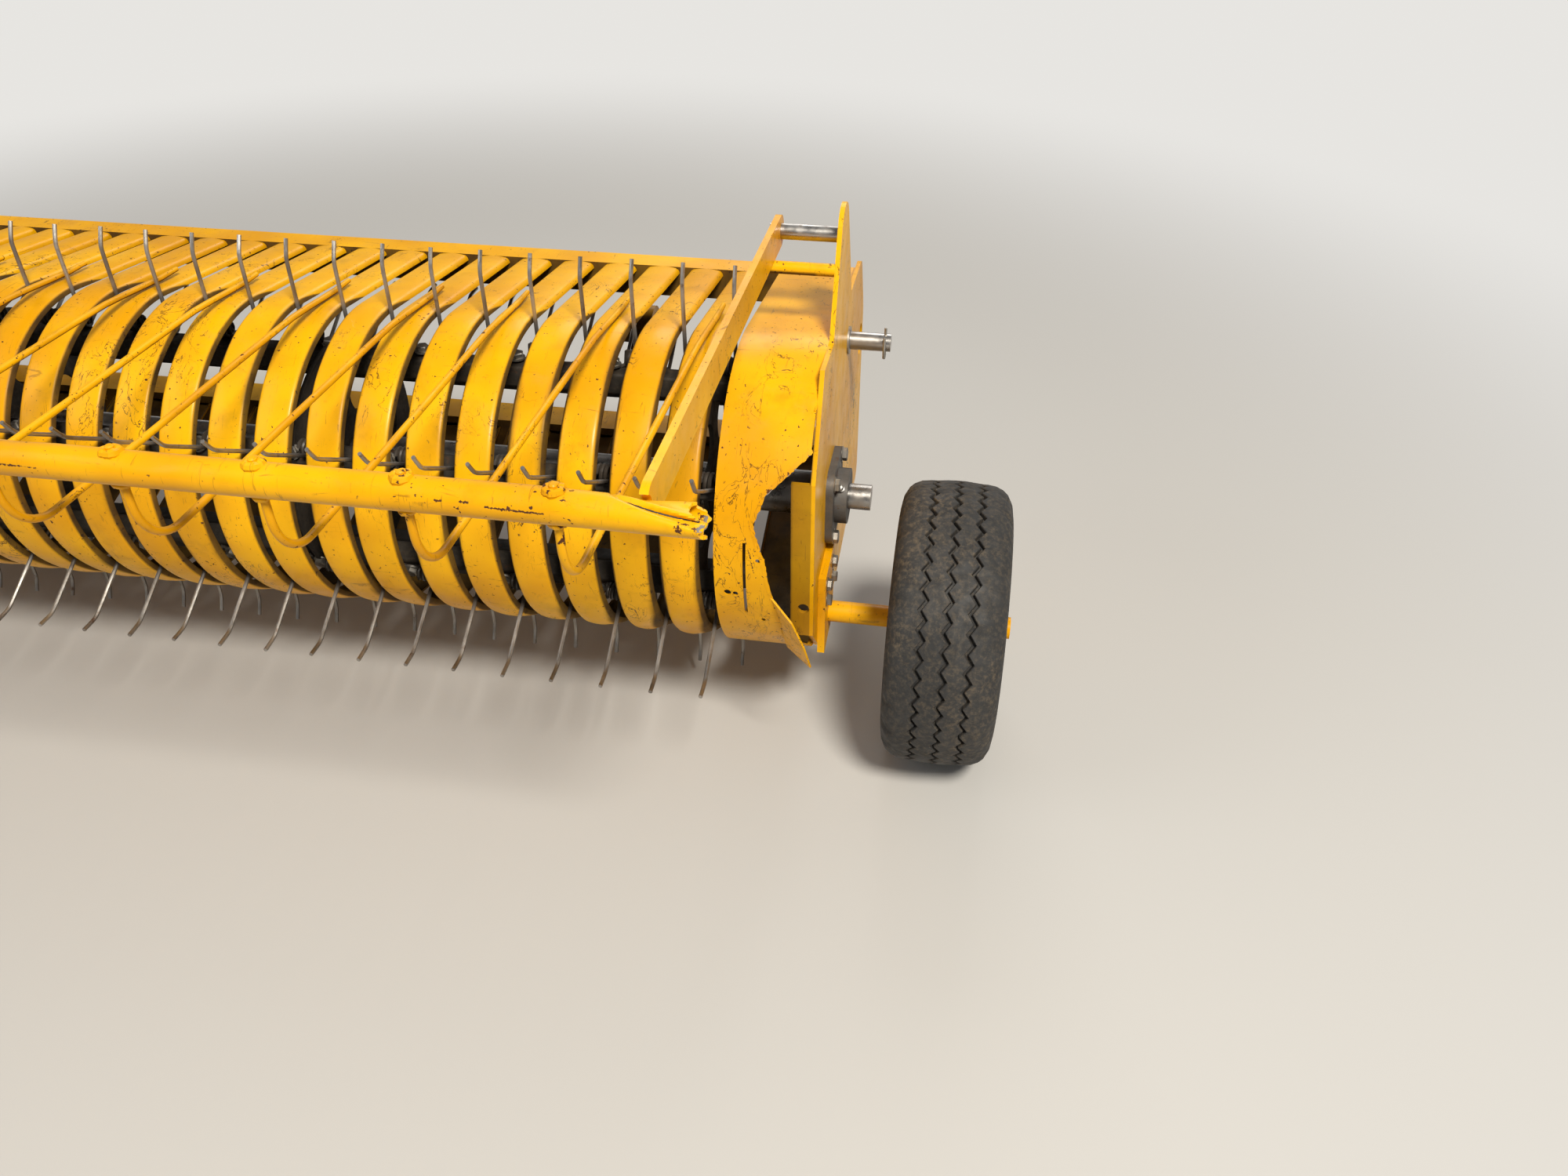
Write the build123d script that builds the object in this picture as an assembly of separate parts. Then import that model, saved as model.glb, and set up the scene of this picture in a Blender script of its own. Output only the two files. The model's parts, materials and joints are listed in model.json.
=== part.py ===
from build123d import *
import math
import os

# Pickup unit of a round baler, in millimetres.
# X runs across the unit, plus X being the baler's left side.
# Y runs rearward, so the crop comes in from minus Y. Z is up.
# The origin is on the pivot axis that hangs the unit on the baler, midway
# between its two pivot bushes.

# Tine and band layout
tine_pitch = 66.0
tine_planes = 26
bar_count = 6
band_radius = 217.0
band_rise = 10.0
band_sheet = 2.5
band_width = 50.0
band_lip = 9.0
tip_radius = 312.0
tip_clearance = 8.0

# Reel place, from the pivot axis
reel_y = -350.0
reel_z = -70.0

# Reel
bar_circle = 150.0
bar_side = 30.0
bar_overhang = 20.0
tine_wire = 5.5
tine_sides = 6
tine_first_angle = 30.0
tip_bend_length = 26.0
tip_bend_angle = 28.0
shaft_tube_outer = 60.0
shaft_tube_gap = 12.0
shaft_end_diameter = 35.0
shaft_end_overhang = 30.0
disc_thickness = 6.0
disc_margin = 8.0
disc_count = 4
disc_window_circle = 95.0
disc_window_radius = 34.0

# Frame, its places measured from the reel axis
end_band_inner = 10.0
end_band_width = 111.0
side_sheet = 6.0
side_margin = 10.0
side_shoulder = 90.0
side_corner = 25.0
side_heel = 100.0
flange_width = 30.0
flange_top = 110.0
flange_bottom = -122.0
flange_band_gap = 1.0
flange_hole = 15.0
flange_hole_inset = 13.0
flange_hole_z = -78.0
beam_top_z = -100.0
beam_height = 80.0
beam_depth = 60.0
beam_wall = 4.0
band_seat = 20.0
rail_top_z = 196.0
rail_height = 46.0
rail_depth = 40.0
rail_wall = 4.0
bearing_flange = 110.0
bearing_flange_thickness = 10.0
bearing_corner = 24.0
bearing_outer = 76.0
bearing_width = 26.0
bearing_clearance = 0.1
bearing_opening = 4.0

# Pivot
pivot_bore = 40.0
pivot_outer = 60.0
pivot_length = 60.0
pivot_place = 594.0
pivot_plate = 10.0
pivot_access = 48.0
lift_pin_diameter = 25.0
lift_pin_length = 60.0
lift_pin_y = 170.0
lift_pin_z = 150.0

# Windguard, its places measured from the reel axis
guard_pipe = 32.0
guard_pipe_wall = 3.0
guard_pipe_y = -590.0
guard_pipe_z = 337.0
guard_pipe_overhang = 60.0
guard_rod = 8.0
guard_rod_sides = 8
guard_rod_step = 2
guard_rod_count = 13
guard_rod_drop = 85.0
guard_rod_bend = 45.0
guard_stub = 6.0
guard_rod_level_y = -40.0
guard_rod_level_drop = 12.0
guard_rod_end_inset = 6.0
guard_rod_end_drop = 12.0
guard_pivot_y = 90.0
guard_pivot_z = 330.0
guard_pivot_pin = 20.0
guard_pivot_proud = 6.0
guard_ear = 40.0
guard_ear_foot = 70.0
guard_arm_gap = 84.0
guard_arm_thickness = 8.0
guard_arm_depth = 40.0
guard_boss = 40.0
guard_boss_length = 30.0
guard_pin_clearance = 0.1
crush_length = 140.0
crush_height = 14.0
crush_width = 42.0
crush_sag = 6.0
rod_hole_clearance = 0.05
guard_stop = 16.0
guard_stop_y = 40.0
stop_gap = 0.3

# Gauge wheels
wheel_radius = 195.0
wheel_width = 150.0
wheel_y = -65.0
wheel_z = -150.0
wheel_gap = 98.0
tyre_bead_inset = 20.0
tyre_wall = 30.0
tyre_shoulder = 45.0
tyre_shoulder_step = 14.0
tyre_tread_inset = 42.0
rim_radius = 84.0
rim_sheet = 5.0
rim_dish = 12.0
hub_radius = 34.0
hub_inset = 15.0
hub_bore_clearance = 0.1
axle_diameter = 30.0
axle_overhang = 12.0
bracket_thickness = 10.0
bracket_width = 90.0
bracket_above = 86.0
bracket_below = 40.0

# Values worked out from the sizes above
plane_edge = (tine_planes - 1) / 2 * tine_pitch
end_band_from = plane_edge + end_band_inner
side_inner = end_band_from + end_band_width
side_outer = side_inner + side_sheet
gap_radius = tip_radius + tip_clearance
guard_arm_x = side_inner - guard_arm_gap
guard_pipe_half = guard_arm_x + guard_pipe_overhang


def front_reach(radius, z):
    """How far an arc of the bands reaches ahead of the reel axis at a height."""
    return math.sqrt(radius**2 - (z - band_rise) ** 2)


# The side plate's front flange stays behind the turned-in edge of the end band
side_front = front_reach(band_radius - band_lip, flange_bottom) - flange_band_gap


def at_reel(y, z):
    """Turns a place measured from the reel axis into one from the pivot."""
    return (reel_y + y, reel_z + z)


def across(sketch, x_from, x_to):
    """Extrudes a sketch drawn in (Y, Z) along X between two places."""
    solid = extrude(Plane.YZ * sketch, amount=x_to - x_from)
    return Pos(x_from, 0, 0) * solid


def round_bar(x_from, x_to, y, z, diameter):
    """A round bar, or the hole for one, along X."""
    ends = (Align.CENTER, Align.CENTER, Align.MIN)
    return Pos(x_from, y, z) * Rot(0, 90, 0) * Cylinder(diameter / 2, x_to - x_from, align=ends)


def mirrored(solid):
    """The same piece on the other side of the machine."""
    return mirror(solid, about=Plane.YZ)


def save(name, *solids):
    """Writes one named node."""
    shape = solids[0] if len(solids) == 1 else Compound(children=list(solids))
    shape.label = name
    export_step(shape, f"parts/{name}.step")


def tine_plane_places():
    """X of each plane that the tines turn in."""
    return [-plane_edge + i * tine_pitch for i in range(tine_planes)]


# Stripper bands

# The band leaves its front arc along two straight runs, which end on the
# front faces of the lower beam and of the upper rail. Both faces stay clear
# of the circle that the tine tips run on.
low_end_y = math.sqrt(gap_radius**2 - beam_top_z**2)
low_end_z = beam_top_z - band_seat
top_end_y = math.sqrt(gap_radius**2 - (rail_top_z - rail_height) ** 2)
top_end_z = rail_top_z


def tangent_angle(y, z, turn):
    """Angle on the bands' arc where a line to (y, z) leaves it."""
    away = math.degrees(math.atan2(z - band_rise, y))
    return away + turn * math.degrees(math.acos(band_radius / math.hypot(y, z - band_rise)))


low_angle = tangent_angle(low_end_y, low_end_z, -1)
top_angle = tangent_angle(top_end_y, top_end_z, 1)


def run_end(angle, radius, end_y):
    """Where the straight run that leaves the arc at this angle meets end_y."""
    y, z = arc_point(angle, radius)
    slope = -1 / math.tan(math.radians(angle))
    return (end_y, z + (end_y - y) * slope)


def arc_point(angle, radius):
    """A point on the bands' arc, whose centre is above the reel axis."""
    turn = math.radians(angle)
    return (radius * math.cos(turn), band_rise + radius * math.sin(turn))


def band_outline(depth):
    """Side outline of a band: the arc and its two runs, depth thick inwards."""
    outer = band_radius
    inner = band_radius - depth
    middle = (low_angle + 360 + top_angle) / 2
    low_out = run_end(low_angle, outer, low_end_y)
    low_in = run_end(low_angle, inner, low_end_y)
    top_out = run_end(top_angle, outer, top_end_y)
    top_in = run_end(top_angle, inner, top_end_y)
    edges = [
        Line(low_out, arc_point(low_angle, outer)),
        ThreePointArc(arc_point(low_angle, outer), arc_point(middle, outer), arc_point(top_angle, outer)),
        Line(arc_point(top_angle, outer), top_out),
        Line(top_out, top_in),
        Line(top_in, arc_point(top_angle, inner)),
        ThreePointArc(arc_point(top_angle, inner), arc_point(middle, inner), arc_point(low_angle, inner)),
        Line(arc_point(low_angle, inner), low_in),
        Line(low_in, low_out),
    ]
    return Pos(reel_y, reel_z, 0) * make_face(Wire(edges))


def band(x_from, x_to):
    """A rolled band with both edges turned in."""
    sheet = across(band_outline(band_sheet), x_from, x_to)
    low_lip = across(band_outline(band_lip), x_from, x_from + band_sheet)
    high_lip = across(band_outline(band_lip), x_to - band_sheet, x_to)
    return sheet + low_lip + high_lip


def make_bands():
    planes = tine_plane_places()
    bands = []
    for left, right in zip(planes, planes[1:]):
        middle = (left + right) / 2
        bands.append(band(middle - band_width / 2, middle + band_width / 2))
    half = len(bands) // 2
    save("stripper_bands_right", *bands[:half])
    save("stripper_bands_left", *bands[half:])


# End bands: wider, slotted, and torn on the left side

slot_inset = 38.0
slot_width = 4.0
slot_top = 54.0
slot_bottom = -56.0
end_holes = (
    # x from the inner edge, z from the reel axis, diameter
    (16.0, -21.0, 9.0),
    (26.0, -22.0, 7.0),
    (55.0, 31.0, 6.0),
    (59.0, -69.0, 6.0),
)
tear_line = (
    # x from the inner edge, z from the reel axis
    (112.0, 158.0),
    (60.0, 112.0),
    (46.0, 76.0),
    (62.0, 28.0),
    (66.0, 1.0),
    (71.0, -23.0),
    (82.0, -87.0),
    (86.0, -116.0),
    (112.0, -150.0),
)
flap_corners = (
    # x from the inner edge, z from the reel axis, how far it stands out of the band's face
    (69.0, -23.0, -0.3),
    (80.5, -87.0, -0.3),
    (85.0, -132.0, 11.0),
    (120.0, -139.0, 47.0),
    (113.0, -95.0, 30.0),
    (98.0, -53.0, 18.0),
)


def end_band():
    """The wide band next to the side plate, with its slot and holes."""
    body = band(end_band_from, side_inner)
    depth = 2 * band_radius
    slot_z = reel_z + (slot_top + slot_bottom) / 2
    slot = Box(slot_width, depth, slot_top - slot_bottom)
    body -= Pos(end_band_from + slot_inset, reel_y - band_radius, slot_z) * slot
    for x, z, size in end_holes:
        hole = Rot(90, 0, 0) * Cylinder(size / 2, depth)
        body -= Pos(end_band_from + x, reel_y - band_radius, reel_z + z) * hole
    return body


def torn_end_band():
    """The same band with its outer edge torn away at the front."""
    points = [(end_band_from + x, reel_z + z) for x, z in tear_line]
    points += [(side_outer, reel_z + tear_line[-1][1]), (side_outer, reel_z + tear_line[0][1])]
    wedge = extrude(Plane.XZ * make_face(Polyline(*points, close=True)), amount=2 * band_radius)
    return end_band() - Pos(0, reel_y, 0) * wedge


def torn_flap():
    """The torn strip, bent forward and out, as facets that share one thickness."""
    places = []
    for x, z, proud in flap_corners:
        y = reel_y - front_reach(band_radius, z) - proud
        places.append(Vector(end_band_from + x, y, reel_z + z))
    first, second, tip = places[0], places[1], places[3]
    inward = (tip - first).cross(second - first).normalized()
    strip = Part()
    for near, far in zip(places[1:], places[2:]):
        facet = make_face(Polyline(first, near, far, close=True))
        strip += extrude(facet, amount=band_sheet, dir=inward)
    return strip


# Frame

def side_plate():
    """Side plate with its front flange turned in and an ear for the windguard."""
    upper_shoulder = band_rise + band_radius + band_sheet
    lower_shoulder = band_rise - band_radius - band_sheet
    rear = pivot_access / 2 + side_margin - reel_y
    outline = (
        # y, z from the reel axis
        (-side_front, flange_bottom),
        (-side_front, flange_top),
        (-side_shoulder, upper_shoulder),
        (top_end_y + rail_depth + side_margin, rail_top_z + side_margin),
        (rear, flange_top),
        (rear, beam_top_z - beam_height - side_margin),
        (side_heel, lower_shoulder),
        (-side_shoulder, lower_shoulder + side_sheet + side_margin),
    )
    plate = make_face(Polyline(*outline, close=True))
    plate = fillet(plate.vertices().sort_by(Axis.X)[-3:], side_corner)
    ear_foot = Line(
        (guard_pivot_y - guard_ear - guard_ear_foot, rail_top_z),
        (guard_pivot_y + guard_ear + guard_ear_foot, rail_top_z),
    )
    plate += make_hull([ear_foot, *(Pos(guard_pivot_y, guard_pivot_z) * Circle(guard_ear)).edges()])
    web = across(Pos(reel_y, reel_z) * plate, side_inner, side_outer)
    flange_y = reel_y - side_front + side_sheet / 2
    flange = Box(flange_width, side_sheet, flange_top - flange_bottom)
    web += Pos(side_outer - flange_width / 2, flange_y, reel_z + (flange_top + flange_bottom) / 2) * flange
    hole = Rot(90, 0, 0) * Cylinder(flange_hole / 2, 4 * side_sheet)
    web -= Pos(side_outer - flange_hole_inset, flange_y, reel_z + flange_hole_z) * hole
    web -= round_bar(side_inner, side_outer, reel_y, reel_z, shaft_end_diameter + 2 * bearing_opening)
    web -= round_bar(side_inner, side_outer, 0, 0, pivot_access)
    return web


def lift_pin():
    """Pin on the outer face of a side plate, for the lift chain or ram."""
    y, z = at_reel(lift_pin_y, lift_pin_z)
    return round_bar(side_outer, side_outer + lift_pin_length, y, z, lift_pin_diameter)


def bearing():
    """Flanged bearing on the outer face of a side plate."""
    outline = RectangleRounded(bearing_flange, bearing_flange, bearing_corner)
    flange = across(outline, 0, bearing_flange_thickness)
    housing = Pos(side_outer, reel_y, reel_z) * flange
    housing += round_bar(side_outer, side_outer + bearing_width, reel_y, reel_z, bearing_outer)
    bore = shaft_end_diameter + 2 * bearing_clearance
    return housing - round_bar(side_outer, side_outer + bearing_width, reel_y, reel_z, bore)


def rear_beam():
    """Square tube across the unit, under the pivot."""
    y, z = at_reel(low_end_y + beam_depth / 2, beam_top_z - beam_height / 2)
    outer = Box(2 * side_inner, beam_depth, beam_height)
    inner = Box(2 * side_inner, beam_depth - 2 * beam_wall, beam_height - 2 * beam_wall)
    return Pos(0, y, z) * (outer - inner)


def top_rail():
    """Channel across the unit that carries the upper ends of the bands."""
    y, z = at_reel(top_end_y + rail_depth / 2, rail_top_z - rail_height / 2)
    outer = Box(2 * side_inner, rail_depth, rail_height)
    inner = Pos(0, rail_wall, 0) * Box(2 * side_inner, rail_depth, rail_height - 2 * rail_wall)
    return Pos(0, y, z) * (outer - inner)


def pivot_arm():
    """Plate from the rear beam up to a pivot bush."""
    beam_top = reel_z + beam_top_z
    foot = reel_y + low_end_y
    outline = ((foot, beam_top), (foot + beam_depth, beam_top), (pivot_outer / 2, 0), (-pivot_outer / 2, 0))
    plate = across(make_face(Polyline(*outline, close=True)), -pivot_plate / 2, pivot_plate / 2)
    barrel = round_bar(-pivot_length / 2, pivot_length / 2, 0, 0, pivot_outer)
    bore = round_bar(-pivot_length / 2, pivot_length / 2, 0, 0, pivot_bore)
    return Pos(pivot_place, 0, 0) * (plate + barrel - bore)


# Reel

def reel_shaft():
    """Tube with turned ends that run in the two bearings."""
    tube_half = side_inner - shaft_tube_gap
    end_half = side_outer + bearing_width + shaft_end_overhang
    tube = round_bar(-tube_half, tube_half, reel_y, reel_z, shaft_tube_outer)
    return tube + round_bar(-end_half, end_half, reel_y, reel_z, shaft_end_diameter)


def bar_places():
    """Angle of each tine bar round the reel, in degrees from plus Y."""
    return [180 + tine_first_angle + i * 360 / bar_count for i in range(bar_count)]


def on_bar(solid, angle):
    """Turns a solid drawn for a bar in plus Y round the reel axis."""
    return Pos(0, reel_y, reel_z) * Rot(angle, 0, 0) * solid


def disc_places():
    """Disc places along the shaft, the outer ones midway in the outer tine gaps."""
    spread = plane_edge - tine_pitch / 2
    return [-spread + i * 2 * spread / (disc_count - 1) for i in range(disc_count)]


def reel_disc(x):
    """Disc that carries the bars, with windows between them."""
    radius = bar_circle + bar_side / 2 + disc_margin
    face = Circle(radius) - Circle(shaft_tube_outer / 2)
    for i in range(bar_count):
        angle = tine_first_angle + i * 360 / bar_count
        face -= Rot(0, 0, angle) * Pos(bar_circle, 0) * Rectangle(bar_side, bar_side)
        face -= Rot(0, 0, angle + 180 / bar_count) * Pos(disc_window_circle, 0) * Circle(disc_window_radius)
    return Pos(x, reel_y, reel_z) * across(face, -disc_thickness / 2, disc_thickness / 2)


def tine(x):
    """One tine for a bar in plus Y: a straight wire with its tip bent up."""
    root = Vector(x, bar_circle + bar_side / 2, 0)
    bend = math.radians(tip_bend_angle)
    rise = tip_bend_length * math.sin(bend)
    run = tip_bend_length * math.cos(bend)
    tip_y = math.sqrt(tip_radius**2 - rise**2)
    knee = Vector(x, tip_y - run, 0)
    tip = Vector(x, tip_y, -rise)
    path = Polyline(root, knee, tip)
    section = Plane(origin=root, z_dir=(0, 1, 0)) * RegularPolygon(tine_wire / 2, tine_sides)
    return sweep(section, path, transition=Transition.RIGHT)


def tine_row(angle):
    """One bar with its tines."""
    length = 2 * (plane_edge + bar_overhang)
    row = Pos(0, bar_circle, 0) * Box(length, bar_side, bar_side)
    first = tine(0)
    tines = [Pos(x, 0, 0) * first for x in tine_plane_places()]
    return on_bar(row.fuse(*tines), angle)


# Windguard

def guard_pipe_solid():
    """Pipe across the front, its left end crushed flat."""
    y, z = at_reel(guard_pipe_y, guard_pipe_z)
    crush_from = guard_pipe_half - crush_length
    pipe = round_bar(-guard_pipe_half, crush_from, 0, 0, guard_pipe)
    pipe -= round_bar(-guard_pipe_half, crush_from, 0, 0, guard_pipe - 2 * guard_pipe_wall)
    start = Plane(origin=(crush_from, 0, 0), x_dir=(0, 1, 0), z_dir=(1, 0, 0))
    end = Plane(origin=(guard_pipe_half, 0, -crush_sag), x_dir=(0, 1, 0), z_dir=(1, 0, 0))
    pipe += loft([start * Circle(guard_pipe / 2), end * Ellipse(crush_width / 2, crush_height / 2)])
    pipe = Pos(0, y, z) * pipe
    for x in guard_rod_places():
        pipe -= Pos(x, y, z) * Cylinder(guard_rod / 2 + rod_hole_clearance, 2 * guard_pipe)
    return pipe


def guard_rod_places():
    """X of each windguard rod, midway between two tine planes."""
    half = (guard_rod_count - 1) / 2
    return [(i - half) * guard_rod_step * tine_pitch for i in range(guard_rod_count)]


def guard_rod_solid(x):
    """Rod through the pipe, bent back over the bands."""
    top = guard_pipe_z + guard_pipe / 2 + guard_stub
    low = guard_pipe_z - guard_rod_drop
    level = low - guard_rod_level_drop
    route = (
        # y, z from the reel axis
        (guard_pipe_y, top),
        (guard_pipe_y, low),
        (guard_rod_level_y, level),
        (guard_pivot_y - guard_rod_end_inset, level - guard_rod_end_drop),
    )
    points = [(x, *at_reel(y, z)) for y, z in route]
    path = FilletPolyline(*points, radius=guard_rod_bend)
    section = Plane(origin=points[0], z_dir=(0, 0, -1)) * RegularPolygon(guard_rod / 2, guard_rod_sides)
    return sweep(section, path)


def guard_arm():
    """Flat arm from the pipe back to the windguard pivot, with its boss."""
    pipe_y, pipe_z = at_reel(guard_pipe_y, guard_pipe_z)
    pivot_y, pivot_z = at_reel(guard_pivot_y, guard_pivot_z)
    face = make_hull(
        [
            *(Pos(pipe_y + guard_arm_depth / 2, pipe_z) * Circle(guard_arm_depth / 2)).edges(),
            *(Pos(pivot_y, pivot_z) * Circle(guard_arm_depth / 2)).edges(),
        ]
    )
    arm = across(face, guard_arm_x, guard_arm_x + guard_arm_thickness)
    boss_end = guard_arm_x + guard_boss_length
    arm += round_bar(guard_arm_x, boss_end, pivot_y, pivot_z, guard_boss)
    arm -= round_bar(guard_arm_x, boss_end, pivot_y, pivot_z, guard_pivot_pin + 2 * guard_pin_clearance)
    return arm - round_bar(guard_arm_x, boss_end, pipe_y, pipe_z, guard_pipe)


def guard_pivot():
    """Pin from the side plate's ear that the windguard arm swings on."""
    y, z = at_reel(guard_pivot_y, guard_pivot_z)
    return round_bar(guard_arm_x - guard_pivot_proud, side_inner, y, z, guard_pivot_pin)


def guard_stop_peg():
    """Peg on the ear that the lowered arm rests over."""
    nose_y = guard_pipe_y + guard_arm_depth / 2
    slope = (guard_pivot_z - guard_pipe_z) / (guard_pivot_y - nose_y)
    middle = guard_pipe_z + slope * (guard_stop_y - nose_y)
    lower = middle - guard_arm_depth / 2 * math.hypot(1, slope)
    y, z = at_reel(guard_stop_y, lower - stop_gap - guard_stop / 2)
    return round_bar(guard_arm_x - guard_pivot_proud, side_inner, y, z, guard_stop)


# Gauge wheels

wheel_inner = side_outer + wheel_gap
wheel_middle = wheel_inner + wheel_width / 2


def turned(points):
    """Turns an outline of (x from the wheel's middle, radius) about the axle."""
    solid = revolve(make_face(Polyline(*points, close=True)), Axis.X)
    return Pos(wheel_middle, *at_reel(wheel_y, wheel_z)) * solid


def tyre():
    """Tyre with flat walls and stepped shoulders."""
    half = wheel_width / 2
    side = (
        # x from the middle, radius
        (half - tyre_bead_inset, rim_radius),
        (half, rim_radius + tyre_wall),
        (half, wheel_radius - tyre_shoulder),
        (half - tyre_shoulder_step, wheel_radius - tyre_shoulder_step),
        (half - tyre_tread_inset, wheel_radius),
    )
    other = [(-x, radius) for x, radius in reversed(side)]
    return turned([*side, *other])


def rim():
    """Rim with its dished disc and its hub."""
    seat = wheel_width / 2 - tyre_bead_inset
    hub_half = wheel_width / 2 - hub_inset
    bore = axle_diameter / 2 + hub_bore_clearance
    inner = rim_radius - rim_sheet
    return turned(
        [
            (-seat, rim_radius),
            (seat, rim_radius),
            (seat, inner),
            (rim_dish + rim_sheet, inner),
            (rim_sheet, hub_radius),
            (hub_half, hub_radius),
            (hub_half, bore),
            (-hub_half, bore),
            (-hub_half, hub_radius),
            (0, hub_radius),
            (rim_dish, inner),
            (-seat, inner),
        ]
    )


def gauge_bracket():
    """Plate on the side plate with the stub axle of the gauge wheel."""
    y, z = at_reel(wheel_y, wheel_z)
    middle = z + (bracket_above - bracket_below) / 2
    plate = Box(bracket_thickness, bracket_width, bracket_above + bracket_below)
    plate = Pos(side_outer + bracket_thickness / 2, y, middle) * plate
    end = wheel_inner + wheel_width + axle_overhang
    return plate + round_bar(side_outer, end, y, z, axle_diameter)


# Drive on the right side

case_gap = 6.0
case_width = 50.0
case_reel_radius = 105.0
case_pivot_radius = 70.0
case_recess_gap = 5.0
case_foot = 24.0
case_feet = (
    # y, z from the reel axis
    (0.0, 85.0),
    (0.0, -85.0),
    (275.0, 100.0),
    (300.0, -5.0),
)
drive_journal = 45.0
drive_journal_reach = 20.0
drive_collar = 2.0
drive_end = 35.0
drive_end_length = 80.0
drive_clearance = 0.1
case_from = side_outer + bearing_width + case_gap
case_to = case_from + case_width


def chain_case():
    """Closed chain case over the drive, from the reel to the pivot axis."""
    face = make_hull(
        [
            *(Pos(reel_y, reel_z) * Circle(case_reel_radius)).edges(),
            *Circle(case_pivot_radius).edges(),
        ]
    )
    case = across(face, case_from, case_to)
    for y, z in case_feet:
        case += round_bar(side_outer, case_from, *at_reel(y, z), case_foot)
    shaft_end = side_outer + bearing_width + shaft_end_overhang
    recess = shaft_end_diameter + 2 * case_recess_gap
    case -= round_bar(case_from, shaft_end + case_recess_gap, reel_y, reel_z, recess)
    return case - round_bar(case_from, case_to, 0, 0, drive_journal + 2 * drive_clearance)


def drive_shaft():
    """Input shaft on the pivot axis: a journal in the case and its free end."""
    step = case_to + drive_collar
    shaft = round_bar(case_from - drive_journal_reach, step, 0, 0, drive_journal)
    return shaft + round_bar(step, step + drive_end_length, 0, 0, drive_end)


def main():
    os.makedirs("parts", exist_ok=True)
    make_bands()
    save("end_band_left", torn_end_band())
    save("end_band_right", mirrored(end_band()))
    save("torn_flap", torn_flap() - torn_end_band())
    save("side_plate_left", side_plate())
    save("side_plate_right", mirrored(side_plate()))
    save("bearing_left", bearing())
    save("bearing_right", mirrored(bearing()))
    save("rear_beam", rear_beam())
    save("top_rail", top_rail())
    save("pivot_arm_left", pivot_arm())
    save("pivot_arm_right", mirrored(pivot_arm()))
    save("gauge_bracket_left", gauge_bracket())
    save("gauge_bracket_right", mirrored(gauge_bracket()))
    save("guard_pivot_left", guard_pivot())
    save("guard_pivot_right", mirrored(guard_pivot()))
    save("guard_stop_left", guard_stop_peg())
    save("guard_stop_right", mirrored(guard_stop_peg()))
    save("lift_pin_left", lift_pin())
    save("lift_pin_right", mirrored(lift_pin()))
    save("chain_case", mirrored(chain_case()))
    save("reel_shaft", reel_shaft())
    save("reel_discs", *[reel_disc(x) for x in disc_places()])
    save("tine_rows", *[tine_row(angle) for angle in bar_places()])
    save("guard_pipe", guard_pipe_solid())
    save("guard_rods", *[guard_rod_solid(x) for x in guard_rod_places()])
    save("guard_arm_left", guard_arm() - guard_pipe_solid())
    save("guard_arm_right", mirrored(guard_arm()))
    save("tyre_left", tyre())
    save("tyre_right", mirrored(tyre()))
    save("rim_left", rim())
    save("rim_right", mirrored(rim()))
    save("drive_shaft", mirrored(drive_shaft()))


main()
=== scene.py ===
import json
import math
import random

import bpy
from mathutils import Matrix, Vector, noise


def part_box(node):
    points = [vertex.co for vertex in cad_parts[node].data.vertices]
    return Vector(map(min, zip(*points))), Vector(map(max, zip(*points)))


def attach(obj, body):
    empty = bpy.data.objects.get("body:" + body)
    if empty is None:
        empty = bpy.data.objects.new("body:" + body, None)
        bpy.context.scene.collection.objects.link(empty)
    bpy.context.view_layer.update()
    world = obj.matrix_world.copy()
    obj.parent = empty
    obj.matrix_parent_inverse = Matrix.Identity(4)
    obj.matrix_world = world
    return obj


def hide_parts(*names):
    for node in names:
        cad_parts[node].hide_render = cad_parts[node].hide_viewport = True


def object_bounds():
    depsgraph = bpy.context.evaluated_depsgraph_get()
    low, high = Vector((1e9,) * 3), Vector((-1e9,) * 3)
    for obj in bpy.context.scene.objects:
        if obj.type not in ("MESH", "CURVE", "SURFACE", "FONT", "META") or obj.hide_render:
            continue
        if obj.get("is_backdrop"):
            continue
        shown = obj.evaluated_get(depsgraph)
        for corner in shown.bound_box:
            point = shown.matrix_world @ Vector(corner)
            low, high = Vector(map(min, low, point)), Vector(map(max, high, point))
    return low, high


# Pickup unit of a round baler, in metres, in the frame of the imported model.
# X runs across the unit, Y rearward and Z up.

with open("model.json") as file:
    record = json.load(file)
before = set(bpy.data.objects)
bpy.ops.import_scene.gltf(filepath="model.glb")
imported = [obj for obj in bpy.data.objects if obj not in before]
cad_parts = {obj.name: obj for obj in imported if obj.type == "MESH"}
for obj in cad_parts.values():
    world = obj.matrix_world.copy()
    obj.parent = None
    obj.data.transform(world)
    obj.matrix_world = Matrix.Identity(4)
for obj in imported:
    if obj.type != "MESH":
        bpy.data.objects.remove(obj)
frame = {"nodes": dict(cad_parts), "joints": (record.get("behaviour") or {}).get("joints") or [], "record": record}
cad_low, cad_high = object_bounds()
joints = {joint["name"]: joint for joint in frame["joints"]}
random.seed(7)

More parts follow.
